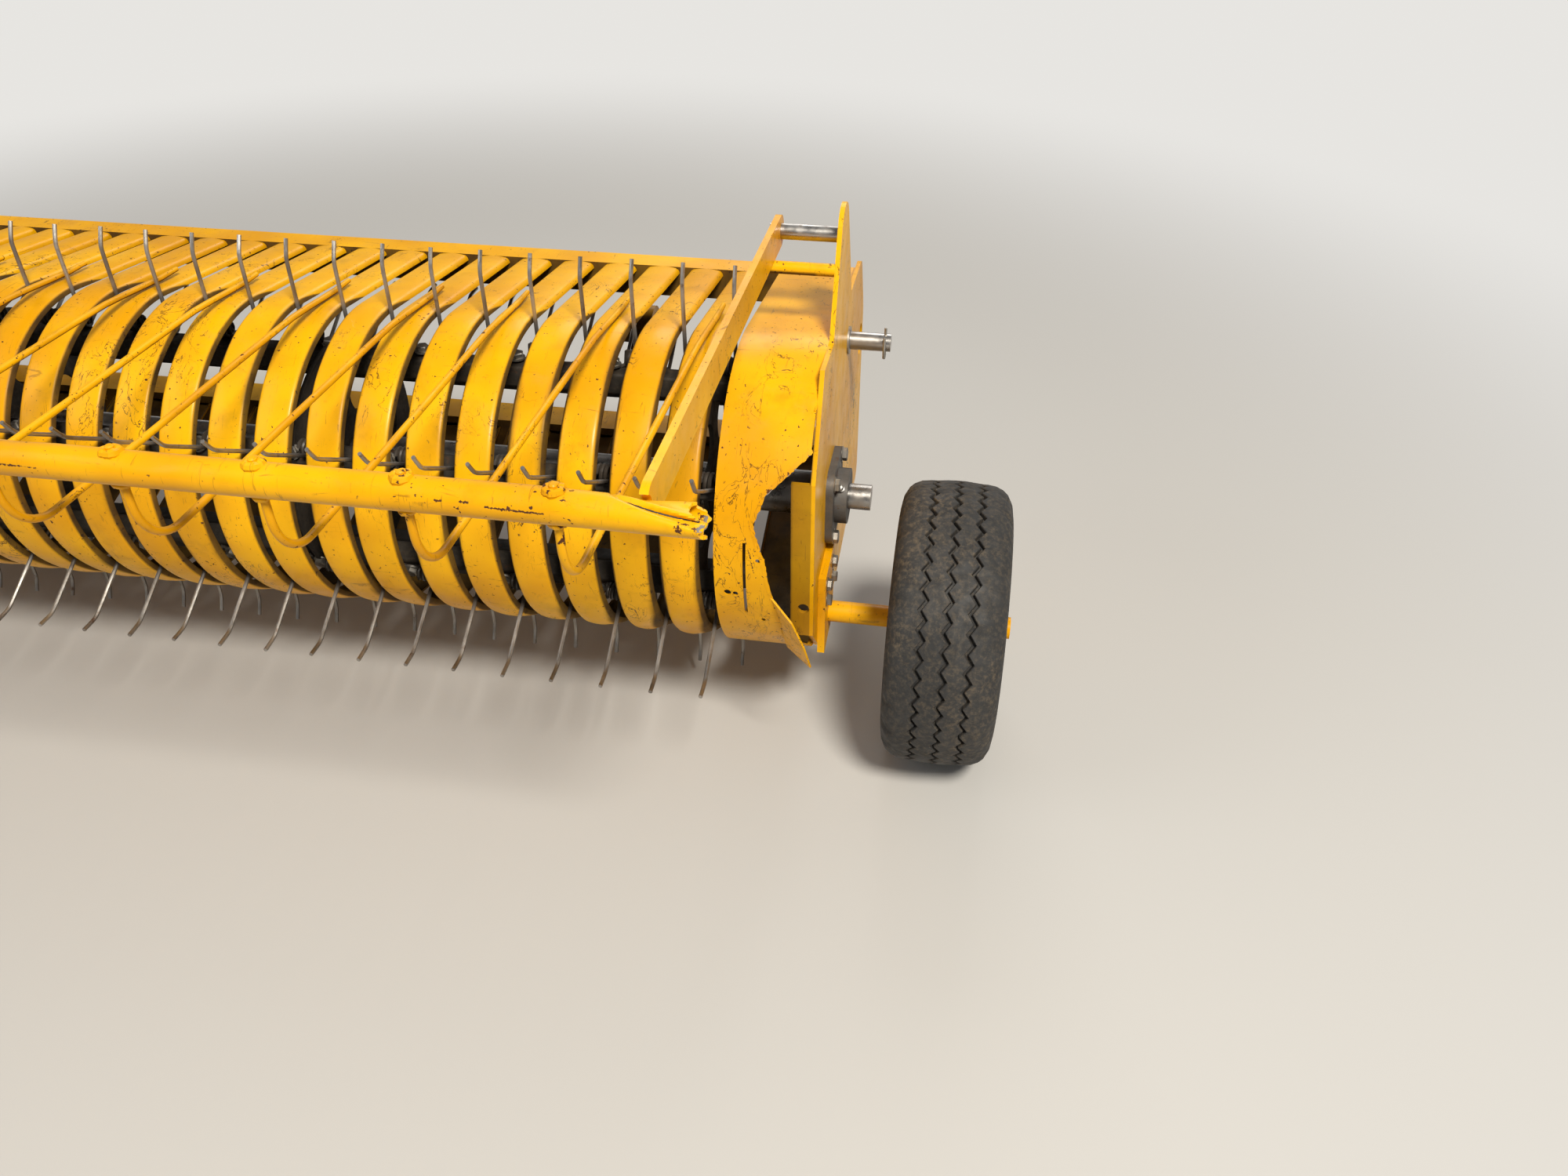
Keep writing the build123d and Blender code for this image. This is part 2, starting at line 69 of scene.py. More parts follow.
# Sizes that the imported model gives
reel_y, reel_z = joints["reel_spin"]["pos_m"][1:]
guard_pivot_y, guard_pivot_z = joints["windguard_lift"]["pos_m"][1:]
wheel_x, wheel_y, wheel_z = joints["gauge_wheel_left_spin"]["pos_m"]
beam_low, beam_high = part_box("rear_beam")
rail_low, rail_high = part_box("top_rail")
bands_low, bands_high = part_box("stripper_bands_left")
arm_low, arm_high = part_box("pivot_arm_left")
tyre_low, tyre_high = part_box("tyre_left")
case_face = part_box("chain_case")[0].x
side_inner = beam_high.x
side_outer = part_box("side_plate_left")[1].x
end_band_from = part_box("end_band_left")[0].x
pipe_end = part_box("guard_pipe")[1].x
guard_pin_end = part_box("guard_pivot_left")[0].x
pivot_x = (arm_low.x + arm_high.x) / 2
floor_z = cad_low.z

# Sizes of the pieces that the scene makes again in more detail, or adds to
tine_pitch = 0.066
tine_planes = 26
bar_count = 6
band_radius = reel_y - bands_low.y
band_rise = bands_high.z - band_radius - reel_z
band_width = 0.050
band_lip = 0.009
band_corner = 0.008
band_sheet = 0.0025
band_crown = 0.0015
band_seat = 0.020
beam_drop = 0.100
tip_radius = 0.312
tip_clearance = 0.008
bar_circle = 0.150
bar_side = 0.030
tine_wire = 0.0055
tip_bend_length = 0.026
tip_bend_angle = math.radians(28)
first_bar_angle = 30
plane_edge = (tine_planes - 1) / 2 * tine_pitch
pipe_radius = 0.016
pipe_wall = 0.003
rod_radius = 0.004
bar_overhang = 0.020
bar_wall = 0.003
bearing_depth = 0.018
flange_depth = 0.010
frame_weld = 0.003
band_weld = 0.0022

# Places measured from the reel axis, rearward and up
guard_ahead, guard_above = -0.590, 0.337
lift_pin_behind, lift_pin_above = 0.170, 0.150


def at_reel(y, z):
    """Turns a place measured from the reel axis into one from the pivot."""
    return (reel_y + y, reel_z + z)


guard_y, guard_z = at_reel(guard_ahead, guard_above)
lift_y, lift_z = at_reel(lift_pin_behind, lift_pin_above)
planes = [-plane_edge + i * tine_pitch for i in range(tine_planes)]
band_places = [(left + right) / 2 for left, right in zip(planes, planes[1:])]


def smooth_step(low, high, value):
    """0 up to low, 1 from high on, and a smooth curve between."""
    t = min(max((value - low) / (high - low), 0.0), 1.0)
    return t * t * (3 - 2 * t)


def turn_angles(count):
    """Angles of even steps once round."""
    return [2 * math.pi * i / count for i in range(count)]


def circle(middle, across, other, radius, count):
    """Points round a circle that lies along two directions."""
    return [middle + (across * math.cos(a) + other * math.sin(a)) * radius for a in turn_angles(count)]


# Mesh tools. A part is a list of points, a list of faces and each point's wear,
# from 0 for sound paint to 1 for an edge that is worn bare.

def skin(rings, looped=False, capped=True, wear=0.0):
    """Joins rings of points, each with as many points, into one part."""
    size = len(rings[0])
    points = [point for ring in rings for point in ring]
    faces = []
    count = len(rings)
    for i in range(count if looped else count - 1):
        here, there = i * size, (i + 1) % count * size
        for j in range(size):
            k = (j + 1) % size
            faces.append((here + j, here + k, there + k, there + j))
    if capped and not looped:
        faces.append(tuple(reversed(range(size))))
        faces.append(tuple(range((count - 1) * size, count * size)))
    worn = wear if isinstance(wear, list) else [wear] * len(points)
    return points, faces, worn


def joined(parts):
    """Several parts as one."""
    points, faces, worn = [], [], []
    for part_points, part_faces, part_worn in parts:
        start = len(points)
        points += part_points
        faces += [tuple(start + i for i in face) for face in part_faces]
        worn += part_worn
    return points, faces, worn


def moved(part, matrix):
    """A part turned and shifted by a matrix."""
    points, faces, worn = part
    return [matrix @ Vector(point) for point in points], faces, worn


def tube(path, radius, sides=8, wear=0.0):
    """A round wire or rod along a path; radius is one value or one for each point."""
    path = [Vector(point) for point in path]
    radii = radius if isinstance(radius, list) else [radius] * len(path)
    steps = [(b - a).normalized() for a, b in zip(path, path[1:])]
    ways = [steps[0]] + [(a + b).normalized() for a, b in zip(steps, steps[1:])] + [steps[-1]]
    across = ways[0].orthogonal().normalized()
    rings = []
    for point, way, size in zip(path, ways, radii):
        across = (across - way * across.dot(way)).normalized()
        rings.append(circle(point, across, way.cross(across), size, sides))
    return skin(rings, wear=wear)


def lathe(outline, axis_from, axis_to, turns=32, wear=0.0):
    """Turns an outline of (share of the way along the axis, radius) about an axis."""
    start, end = Vector(axis_from), Vector(axis_to)
    way = (end - start).normalized()
    across = way.orthogonal().normalized()
    other = way.cross(across)
    rings = [circle(start.lerp(end, share), across, other, radius, turns) for share, radius in outline]
    return skin(rings, wear=wear)


def bolt(place, axis, size, head=0.65, washer=True):
    """Hexagon head with its washer, standing on a face at place and facing along axis."""
    turn = Vector(axis).to_track_quat("Z", "Y").to_matrix().to_4x4()
    spin = Matrix.Rotation(random.uniform(0, math.pi / 3), 4, "Z")
    matrix = Matrix.Translation(place) @ turn @ spin
    parts = []
    base = 0.0
    if washer:
        base = size * 0.14
        disc = [(0, size * 1.08), (0.7, size * 1.1), (1, size * 1.02)]
        parts.append(lathe(disc, (0, 0, 0), (0, 0, base), 20, 0.5))
    corner = size * 0.92
    rings = []
    for height, reach in ((0, 1.0), (0.8, 1.0), (1.0, 0.86)):
        middle = Vector((0, 0, base + height * head * size))
        rings.append(circle(middle, Vector((1, 0, 0)), Vector((0, 1, 0)), corner * reach, 6))
    parts.append(skin(rings, wear=0.6))
    return moved(joined(parts), matrix)


def weld_bead(middle, axis, radius, thickness, seed):
    """Lumpy ring of weld round a rod."""
    way = Vector(axis).normalized()
    across = way.orthogonal().normalized()
    other = way.cross(across)
    rings = []
    for a in turn_angles(26):
        out = across * math.cos(a) + other * math.sin(a)
        lump = 1 + 0.35 * noise.noise(Vector((seed * 3.7, 4 * math.cos(a), 4 * math.sin(a))))
        rings.append(circle(Vector(middle) + out * radius, out, way, thickness * lump, 8))
    return skin(rings, looped=True, wear=0.55)


def lumpy_line(start, end, radius, seed, step=0.003):
    """A run of weld metal between two points."""
    start, end = Vector(start), Vector(end)
    count = max(6, int((end - start).length / step))
    path = [start.lerp(end, i / count) for i in range(count + 1)]
    lumps = [noise.noise(Vector((seed * 1.9, i * 0.9, 0.3))) for i in range(count + 1)]
    return tube(path, [radius * (0.8 + 0.35 * lump) for lump in lumps], 7, 0.3)


def add_piece(name, part, body, material, replaced=(), sharp=35):
    """Makes a mesh object from a part, on its body, with its material."""
    points, faces, worn = part
    mesh = bpy.data.meshes.new(name)
    mesh.from_pydata([tuple(point) for point in points], [], faces)
    mesh.validate()
    mesh.polygons.foreach_set("use_smooth", [True] * len(mesh.polygons))
    mesh.set_sharp_from_angle(angle=math.radians(sharp))
    layer = mesh.attributes.new("wear", "FLOAT", "POINT")
    layer.data.foreach_set("value", worn)
    mesh.materials.append(material)
    piece = bpy.data.objects.new(name, mesh)
    bpy.context.scene.collection.objects.link(piece)
    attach(piece, body)
    if replaced:
        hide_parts(*replaced)
    return piece


# Materials

class Finish:
    """A procedural material: short calls that add its nodes and join them."""

    def __init__(self, name):
        self.material = bpy.data.materials.new(name)
        self.material.use_nodes = True
        self.tree = self.material.node_tree
        self.shader = self.tree.nodes["Principled BSDF"]
        self.place = self.add("ShaderNodeTexCoord").outputs["Object"]

    def add(self, kind, **values):
        made = self.tree.nodes.new(kind)
        for key, value in values.items():
            setattr(made, key, value)
        return made

    def join(self, source, target):
        if isinstance(source, bpy.types.NodeSocket):
            self.tree.links.new(source, target)
        else:
            target.default_value = source

    def grain(self, scale, detail=4.0, rough=0.55, stretch=None, warp=0.0):
        source = self.place
        if stretch:
            mapping = self.add("ShaderNodeMapping")
            self.join(source, mapping.inputs["Vector"])
            mapping.inputs["Scale"].default_value = stretch
            source = mapping.outputs["Vector"]
        made = self.add("ShaderNodeTexNoise")
        for key, value in (("Vector", source), ("Scale", scale), ("Detail", detail),
                           ("Roughness", rough), ("Distortion", warp)):
            self.join(value, made.inputs[key])
        return made.outputs["Fac"]

    def ramp(self, value, low, high, to_low=0.0, to_high=1.0):
        made = self.add("ShaderNodeMapRange", interpolation_type="SMOOTHSTEP")
        for key, amount in (("Value", value), ("From Min", low), ("From Max", high),
                            ("To Min", to_low), ("To Max", to_high)):
            self.join(amount, made.inputs[key])
        return made.outputs["Result"]

    def math(self, operation, a, b):
        made = self.add("ShaderNodeMath", operation=operation)
        self.join(a, made.inputs[0])
        self.join(b, made.inputs[1])
        return made.outputs[0]

    def blend(self, share, a, b):
        made = self.add("ShaderNodeMix", data_type="RGBA")
        for socket, value in ((made.inputs[0], share), (made.inputs[6], a), (made.inputs[7], b)):
            self.join((*value, 1.0) if isinstance(value, tuple) else value, socket)
        return made.outputs[2]

    def facing_up(self):
        """1 on surfaces that face the sky, 0 on upright ones."""
        parts = self.add("ShaderNodeSeparateXYZ")
        self.join(self.add("ShaderNodeNewGeometry").outputs["Normal"], parts.inputs["Vector"])
        return self.ramp(parts.outputs["Z"], 0.05, 0.95)

    def vector(self, operation, a, b=None, output="Vector"):
        made = self.add("ShaderNodeVectorMath", operation=operation)
        self.join(a, made.inputs[0])
        if b is not None:
            self.join(b, made.inputs[1])
        return made.outputs[output]

    def from_axis(self, z):
        """The way out to each place from a line along X, at the reel's Y and at a height."""
        away = self.vector("SUBTRACT", self.place, (0.0, reel_y, z))
        return self.vector("MULTIPLY", away, (0.0, 1.0, 1.0))

    def facing_in(self):
        """1 where a surface looks in at the reel axis, as the bands' inner faces do; this masks the dirt and
        painted shade inside the drum.
        """
        away = self.from_axis(reel_z + band_rise)
        normal = self.add("ShaderNodeTexCoord").outputs["Normal"]
        outward = self.vector("DOT_PRODUCT", self.vector("NORMALIZE", away), normal, "Value")
        inside = self.ramp(outward, -0.1, -0.6)
        radius = self.vector("LENGTH", away, output="Value")
        deep = self.ramp(radius, band_radius - 0.0026, band_radius - 0.0050)
        near = self.ramp(radius, 0.40, 0.36)
        both = self.math("MAXIMUM", deep, self.math("MULTIPLY", inside, near))
        return self.math("MULTIPLY", both, self.between_sides())

    def between_sides(self):
        """1 between the end bands, less at the side plates' inner faces, 0 outside them."""
        parts = self.add("ShaderNodeSeparateXYZ")
        self.join(self.place, parts.inputs["Vector"])
        across = self.math("ABSOLUTE", parts.outputs["X"], 0.0)
        # The side plates' inner faces take part of the dirt and painted shade
        close = self.ramp(across, side_inner - 0.020, side_inner - 0.026, 0.0, 0.45)
        wide = self.ramp(across, side_inner + 0.002, side_inner + 0.0005, 0.0, 0.55)
        return self.math("ADD", close, wide)

    def near_line(self, start, end, width):
        """1 on a straight mark between two places, fading out over its width."""
        along = end - start
        away = self.vector("SUBTRACT", self.place, tuple(start))
        held = self.add("ShaderNodeClamp")
        share = self.vector("DOT_PRODUCT", away, tuple(along / along.length_squared), "Value")
        self.join(share, held.inputs["Value"])
        foot = self.add("ShaderNodeVectorMath", operation="SCALE")
        self.join(tuple(along), foot.inputs[0])
        self.join(held.outputs["Result"], foot.inputs["Scale"])
        gap = self.vector("DISTANCE", away, foot.outputs["Vector"], "Value")
        ragged = self.ramp(self.grain(420.0, 2.0), 0.3, 0.7, -0.0006, 0.0008)
        return self.ramp(self.math("ADD", gap, ragged), width, width * 0.55)

    def bump(self, height, strength, distance):
        made = self.add("ShaderNodeBump")
        made.inputs["Strength"].default_value = strength
        made.inputs["Distance"].default_value = distance
        self.join(height, made.inputs["Height"])
        self.join(made.outputs["Normal"], self.shader.inputs["Normal"])


# Colours of wear and dirt, and of the dirt and painted shade inside the drum
film_colour = (0.20, 0.085, 0.004)
streak_colour = (0.11, 0.045, 0.006)
scratch_colour = (0.05, 0.022, 0.008)
scuff_colour = (0.045, 0.018, 0.006)
rust_halo = (0.30, 0.11, 0.006)
dark_rust = (0.030, 0.012, 0.007)
light_rust = (0.13, 0.045, 0.016)
rust_bloom = (0.11, 0.042, 0.016)
bare_sheet = (0.21, 0.19, 0.165)
paint_dust = (0.36, 0.24, 0.10)
metal_dust = (0.30, 0.215, 0.12)
# Dark brown of the drum's inside: dirt together with painted shade
drum_dirt_and_shade = (0.035, 0.020, 0.009)
drum_grease = (0.030, 0.020, 0.012)


def paint(name, base, shade, dust, chips, roughness, coat, marks=()):
    """Faded paint with film, scratches, chips down to rust, dust, and an inner side darkened with dirt and painted
    shade.
    """
    f = Finish(name)
    wear = f.add("ShaderNodeAttribute", attribute_name="wear").outputs["Fac"]
    colour = f.blend(f.ramp(f.grain(5.0, 3.0), 0.35, 0.68), shade, base)
    film = f.ramp(f.grain(19.0, 7.0, 0.62), 0.52, 0.8, 0.0, 0.30)
    colour = f.blend(film, colour, film_colour)
    streak = f.ramp(f.grain(16.0, 9.0, 0.72, (1.0, 4.5, 4.5), 1.2), 0.60, 0.70, 0.0, 0.5)
    colour = f.blend(streak, colour, streak_colour)
    scratch = f.ramp(f.grain(30.0, 3.0, 0.5, (7.0, 0.7, 0.7), 2.5), 0.665, 0.685, 0.0, 0.35)
    colour = f.blend(scratch, colour, scratch_colour)
    curl = f.math("SUBTRACT", f.grain(27.0, 4.0, 0.6, (1.0, 0.55, 0.55), 1.6), 0.5)
    curl = f.ramp(f.math("ABSOLUTE", curl, 0.0), 0.0085, 0.0045)
    scuff = f.math("MULTIPLY", curl, f.ramp(f.grain(6.5, 2.0), 0.56, 0.64, 0.0, 0.75))
    colour = f.blend(scuff, colour, scuff_colour)

    field = f.math("ADD", f.grain(105.0, 5.0, 0.58), f.math("MULTIPLY", wear, 0.16))
    patchy = f.math("ADD", field, f.ramp(f.grain(9.0, 2.0), 0.35, 0.75, -0.06, 0.03))
    chip_from = 0.745 - 0.06 * chips
    chip = f.ramp(patchy, chip_from, chip_from + 0.015)
    halo = f.ramp(patchy, chip_from - 0.02, chip_from, 0.0, 0.35)
    colour = f.blend(halo, colour, rust_halo)
    rust = f.blend(f.grain(160.0, 5.0), dark_rust, light_rust)
    speck = f.ramp(f.grain(190.0, 2.0, 0.45), 0.70, 0.715)
    speck = f.math("MULTIPLY", speck, f.ramp(f.grain(11.0, 2.0), 0.40, 0.55))
    chip = f.math("MAXIMUM", chip, speck)
    for start, end, width in marks:
        chip = f.math("MAXIMUM", chip, f.near_line(start, end, width))
    bare = f.blend(f.ramp(wear, 0.8, 0.97), rust, bare_sheet)
    colour = f.blend(chip, colour, bare)

    dusting = f.math("MULTIPLY", f.facing_up(), f.ramp(f.grain(26.0, 8.0, 0.7), 0.48, 0.78, 0.0, dust))
    colour = f.blend(dusting, colour, paint_dust)
    # Inner faces, and faces looking in at the reel, go dark brown: dirt and painted shade inside the drum
    inner = f.math("MULTIPLY", f.facing_in(), f.ramp(f.grain(24.0, 5.0), 0.25, 0.7, 0.97, 0.84))
    colour = f.blend(inner, colour, drum_dirt_and_shade)
    f.join(colour, f.shader.inputs["Base Color"])

    dull = f.ramp(f.grain(34.0, 5.0), 0.3, 0.8, roughness - 0.06, roughness + 0.12)
    dull = f.math("ADD", dull, f.math("MULTIPLY", f.math("MAXIMUM", chip, inner), 0.4))
    f.join(f.math("ADD", dull, f.math("MULTIPLY", dusting, 0.4)), f.shader.inputs["Roughness"])
    f.join(f.math("MULTIPLY", f.math("SUBTRACT", 1.0, inner), coat), f.shader.inputs["Coat Weight"])
    f.shader.inputs["Coat Roughness"].default_value = 0.22
    f.shader.inputs["Specular IOR Level"].default_value = 0.14
    relief = f.math("SUBTRACT", f.ramp(f.grain(30.0, 3.0), 0.2, 0.8), f.math("MULTIPLY", chip, 0.5))
    f.bump(relief, 0.30, 0.0007)
    return f.material


def metal(name, base, shade, rust, metallic, roughness, dust, grime=0.0):
    """Bare or greasy metal, or rubber: uneven tone, rust bloom, dust and fine bump."""
    f = Finish(name)
    colour = f.blend(f.ramp(f.grain(14.0, 5.0), 0.3, 0.72), shade, base)
    bloom = f.ramp(f.grain(60.0, 7.0, 0.65), 0.66 - 0.2 * rust, 0.82 - 0.2 * rust, 0.0, 0.85)
    colour = f.blend(bloom, colour, rust_bloom)
    dusty = f.ramp(f.grain(150.0, 8.0, 0.72), 0.42, 0.8, 0.0, dust)
    soft = f.ramp(f.grain(9.0, 3.0), 0.3, 0.75, 0.35, 1.0)
    colour = f.blend(f.math("MULTIPLY", dusty, soft), colour, metal_dust)
    if grime:
        radius = f.vector("LENGTH", f.from_axis(reel_z), output="Value")
        deep = f.ramp(radius, 0.245, 0.205, 0.0, grime)
        colour = f.blend(deep, colour, drum_grease)
        f.join(f.math("MULTIPLY", f.math("SUBTRACT", 1.0, deep), metallic), f.shader.inputs["Metallic"])
    else:
        f.shader.inputs["Metallic"].default_value = metallic
    f.join(colour, f.shader.inputs["Base Color"])
    dull = f.ramp(f.grain(60.0, 6.0), 0.3, 0.75, roughness - 0.1, roughness + 0.18)
    f.join(dull, f.shader.inputs["Roughness"])
    f.bump(f.grain(130.0, 3.0), 0.25, 0.0006)
    return f.material


pipe_scrapes = (
    # from, to, measured from the pipe's axis, and half width
    ((0.737, -0.0158, 0.0032), (0.786, -0.0160, 0.0018), 0.0011),
    ((0.716, -0.0150, 0.0060), (0.722, -0.0150, 0.0058), 0.0012),
    ((0.694, -0.0152, 0.0052), (0.699, -0.0152, 0.0052), 0.0011),
    ((0.262, -0.0157, 0.0034), (0.330, -0.0159, 0.0022), 0.0010),
    ((-0.420, -0.0152, 0.0050), (-0.335, -0.0157, 0.0036), 0.0011),
)
band_cracks = (
    # from, to, measured from the left end band's inner edge, its front and the reel axis
    ((0.039, 0.0065, 0.060), (0.046, 0.0015, 0.034), 0.0010),
    ((0.046, 0.0015, 0.034), (0.050, 0.0003, 0.014), 0.0009),
    ((0.026, 0.0040, -0.028), (0.027, 0.0110, -0.046), 0.0012),
)
paint_marks = []
for origin, marks in (
    (Vector((0, guard_y, guard_z)), pipe_scrapes),
    (Vector((end_band_from, reel_y - band_radius, reel_z)), band_cracks),
):
    for start, end, width in marks:
        paint_marks.append((origin + Vector(start), origin + Vector(end), width))

yellow = paint(
    "yellow_paint", (0.84, 0.425, 0.001), (0.66, 0.295, 0.001),
    dust=0.18, chips=0.5, roughness=0.38, coat=0.10, marks=paint_marks,
)
yellow_worn = paint(
    "yellow_worn", (0.82, 0.41, 0.001), (0.62, 0.27, 0.001),
    dust=0.26, chips=1.1, roughness=0.45, coat=0.06,
)
steel = metal(
    "bare_steel", (0.50, 0.48, 0.45), (0.28, 0.26, 0.24),
    rust=0.3, metallic=1.0, roughness=0.34, dust=0.25,
)
tine_steel = metal(
    "tine_steel", (0.46, 0.44, 0.41), (0.20, 0.18, 0.16),
    rust=0.45, metallic=0.9, roughness=0.38, dust=0.35, grime=0.92,
)
dark_steel = metal(
    "dark_steel", (0.045, 0.035, 0.025), (0.025, 0.020, 0.015),
    rust=0.4, metallic=0.3, roughness=0.7, dust=0.25,
)
cast = metal(
    "cast_iron", (0.14, 0.13, 0.12), (0.08, 0.075, 0.07),
    rust=0.5, metallic=0.6, roughness=0.6, dust=0.35,
)
zinc = metal(
    "zinc_bolts", (0.42, 0.40, 0.36), (0.26, 0.23, 0.19),
    rust=0.5, metallic=0.9, roughness=0.45, dust=0.35,
)
rubber = metal(
    "rubber", (0.030, 0.029, 0.028), (0.018, 0.018, 0.018),
    rust=0.0, metallic=0.0, roughness=0.75, dust=0.5,
)

slot_materials = {
    "yellow_paint": yellow,
    "cast_iron": cast,
    "bare_steel": steel,
    "dark_steel": dark_steel,
    "rubber": rubber,
}
for subpart in frame["record"]["subparts"]:
    node_object = frame["nodes"][subpart["node"]]
    node_object.data.materials.clear()
    node_object.data.materials.append(slot_materials[subpart["material_slot"]])


# Stripper bands

# Ends of the bands and middle of their arc, measured from the reel axis
low_end_y = math.sqrt((tip_radius + tip_clearance) ** 2 - beam_drop**2)
low_end = Vector((low_end_y, -beam_drop - band_seat))
top_end = Vector((rail_low.y - reel_y, rail_high.z - reel_z))
arc_centre = Vector((0, band_rise))


def leave_angle(end, turn):
    """Angle on the bands' arc where the run to an end leaves it."""
    away = end - arc_centre
    return math.atan2(away.y, away.x) + turn * math.acos(band_radius / away.length)


low_angle = leave_angle(low_end, -1)
top_angle = leave_angle(top_end, 1)


def band_path(low_steps=6, arc_steps=72, top_steps=7):
    """Places and outward ways along a band, from its low end round to its top end."""
    start = Vector((math.cos(low_angle), math.sin(low_angle)))
    first = arc_centre + start * band_radius
    path = [(low_end.lerp(first, i / low_steps), start) for i in range(low_steps)]
    for i in range(arc_steps + 1):
        a = low_angle + 2 * math.pi + (top_angle - low_angle - 2 * math.pi) * i / arc_steps
        way = Vector((math.cos(a), math.sin(a)))
        path.append((arc_centre + way * band_radius, way))
    last, way = path[-1]
    path += [(last.lerp(top_end, i / top_steps), way) for i in range(1, top_steps + 1)]
    return path


def band_section(width):
    """Closed outline of a band across its width: (x from the middle, depth, wear)."""
    half = width / 2
    flat = half - band_corner
    outer = [(-half, band_lip, 0.2)]
    for i in range(5):
        a = math.pi / 2 * i / 4
        depth = band_crown + band_corner * (1 - math.sin(a))
        outer.append((-half + band_corner * (1 - math.cos(a)), depth, 0.15 + 0.35 * math.cos(a)))
    outer += [(-flat * (1 - i / 4), band_crown * (1 - i / 4) ** 2, 0.1) for i in range(1, 4)]
    outer.append((0.0, 0.0, 0.1))
    outer += [(-x, depth, worn) for x, depth, worn in reversed(outer[:-1])]
    inner = []
    for x, depth, worn in reversed(outer):
        inner_x = x * (half - band_sheet) / half
        inner.append((inner_x, min(depth + band_sheet, band_lip), 0.0))
    return outer + inner


def band_part(middle, width, bow, dent, tuck, seed):
    """One rolled band, bowed sideways, pushed in here and there, its right edge tucked up below."""
    section = band_section(width)
    rings, wear = [], []
    path = band_path()
    for i, (place, way) in enumerate(path):
        share = i / (len(path) - 1)
        free = math.sin(math.pi * share)
        side = bow * math.exp(-(((share - 0.45) / 0.26) ** 2)) * free
        side += 0.0007 * noise.noise(Vector((seed * 5.1, share * 4, 0))) * free
        push = dent * max(0.0, noise.noise(Vector((seed * 2.3, share * 7.0, 1.7))) + 0.15) * free
        below = math.exp(-(((math.degrees(math.atan2(-way.y, -way.x)) - 56) / 26) ** 2))
        ring = []
        for x, depth, worn in section:
            ripple = 0.0006 * max(0.0, noise.noise(Vector((seed + x * 40, share * 22, 3.0)))) * free
            lifted = tuck * below * smooth_step(-0.012, 0.022, x)
            reach = place - way * (depth + push + ripple + lifted)
            ring.append(Vector((middle + x + side, *at_reel(reach.x, reach.y))))
            wear.append(min(1.0, worn * (0.6 + 0.5 * free)))
        rings.append(ring)
    return skin(rings, wear=wear)


band_shapes = {
    # number of the band from the middle: sideways bow, how far its right edge is tucked up
    2: (-0.0012, 0.001),
    3: (0.0010, 0.0),
    4: (-0.0042, 0.001),
    5: (0.0042, 0.002),
    6: (-0.0040, 0.001),
    7: (0.0034, 0.0),
    9: (0.0012, 0.003),
    10: (-0.0010, 0.004),
    11: (0.0014, 0.008),
    12: (-0.0026, 0.0055),
    -3: (0.0022, 0.002),
    -8: (-0.0020, 0.0),
}
bands = []
for middle in band_places:
    number = round(middle / tine_pitch)
    bow, tuck = band_shapes.get(number, (0.0009 * math.sin(number * 2.6), 0.001))
    bands.append(band_part(middle, band_width, bow, 0.0035, tuck, number + 20.5))
half = len(bands) // 2
for side, part in (("right", joined(bands[:half])), ("left", joined(bands[half:]))):
    add_piece(f"bands_{side}", part, "frame", yellow, [f"stripper_bands_{side}"])

seams = []
for i, x in enumerate(band_places):
    reach = band_width / 2 - 0.004
    for end, lift in ((top_end, -0.0045), (low_end, 0.0005)):
        y, z = at_reel(end.x - 0.002, end.y + lift)
        seams.append(lumpy_line((x - reach, y, z), (x + reach, y, z), band_weld, i + end.y))
add_piece("band_welds", joined(seams), "frame", yellow_worn)

# Torn edge of the left end band

tear_line = (
    # x from the band's inner edge, z from the reel axis
    (0.112, 0.158),
    (0.060, 0.112),
    (0.046, 0.076),
    (0.062, 0.028),
    (0.066, 0.001),
    (0.071, -0.023),
    (0.082, -0.087),
    (0.086, -0.116),
    (0.112, -0.150),
)


def torn_edge():
    """Ragged bare edge of the sheet along the tear."""
    rings, wear = [], []
    places = [Vector(place) for place in tear_line]
    along = []
    for a, b in zip(places, places[1:]):
        count = max(2, int((b - a).length / 0.0025))
        along += [(a.lerp(b, i / count), (b - a).normalized()) for i in range(count)]
    for i, (place, way) in enumerate(along):
        out = Vector((-way.y, way.x))
        rough = noise.noise(Vector((place.x * 160, place.y * 160, 2.0)))
        reach = 0.0016 + 0.0028 * abs(rough)
        lift = 0.0012 * noise.noise(Vector((place.y * 90, 5.0, 1.0)))
        ring = []
        for shift, depth in (
            # out past the tear, back from the band's face
            (-0.003, -0.0003),
            (reach, 0.0002 + lift),
            (reach * 0.9, 0.0018 + lift),
            (-0.003, 0.0028),
        ):
            spot = place + out * shift
            face = math.sqrt(max(0.0, band_radius**2 - (spot.y - band_rise) ** 2))
            ring.append(Vector((end_band_from + spot.x, *at_reel(-face + depth, spot.y))))
        rings.append(ring)
        wear += [0.3, 1.0, 1.0, 0.3]
    return skin(rings, wear=wear)


add_piece("torn_burr", torn_edge(), "frame", yellow_worn, sharp=20)

# Windguard

crush_length = 0.140
rod_count = tine_planes // 2
rod_places = [(i - (rod_count - 1) / 2) * 2 * tine_pitch for i in range(rod_count)]
pipe_dents = (
    # x, angle round the pipe, depth, length
    (0.437, 2.1, 0.0028, 0.016),
    (0.300, 1.2, 0.0012, 0.02),
    (-0.15, 1.9, 0.0018, 0.02),
    (0.62, 2.7, 0.0012, 0.03),
    (-0.52, 1.4, 0.0022, 0.018),
)


def crush_share(x):
    """0 on the round pipe, growing to 1 at its crushed end."""
    return min(max((x - pipe_end + crush_length) / crush_length, 0.0), 1.0)


def crease_angle(share):
    """Angle round the pipe of the crease in its crushed end, from behind round the top."""
    return math.radians(50 + 112 * max(0.0, (share - 0.4) / 0.6) ** 0.6)


def turn_between(angle, other):
    """The shorter turn from one angle to another."""
    return (angle - other + math.pi) % (2 * math.pi) - math.pi


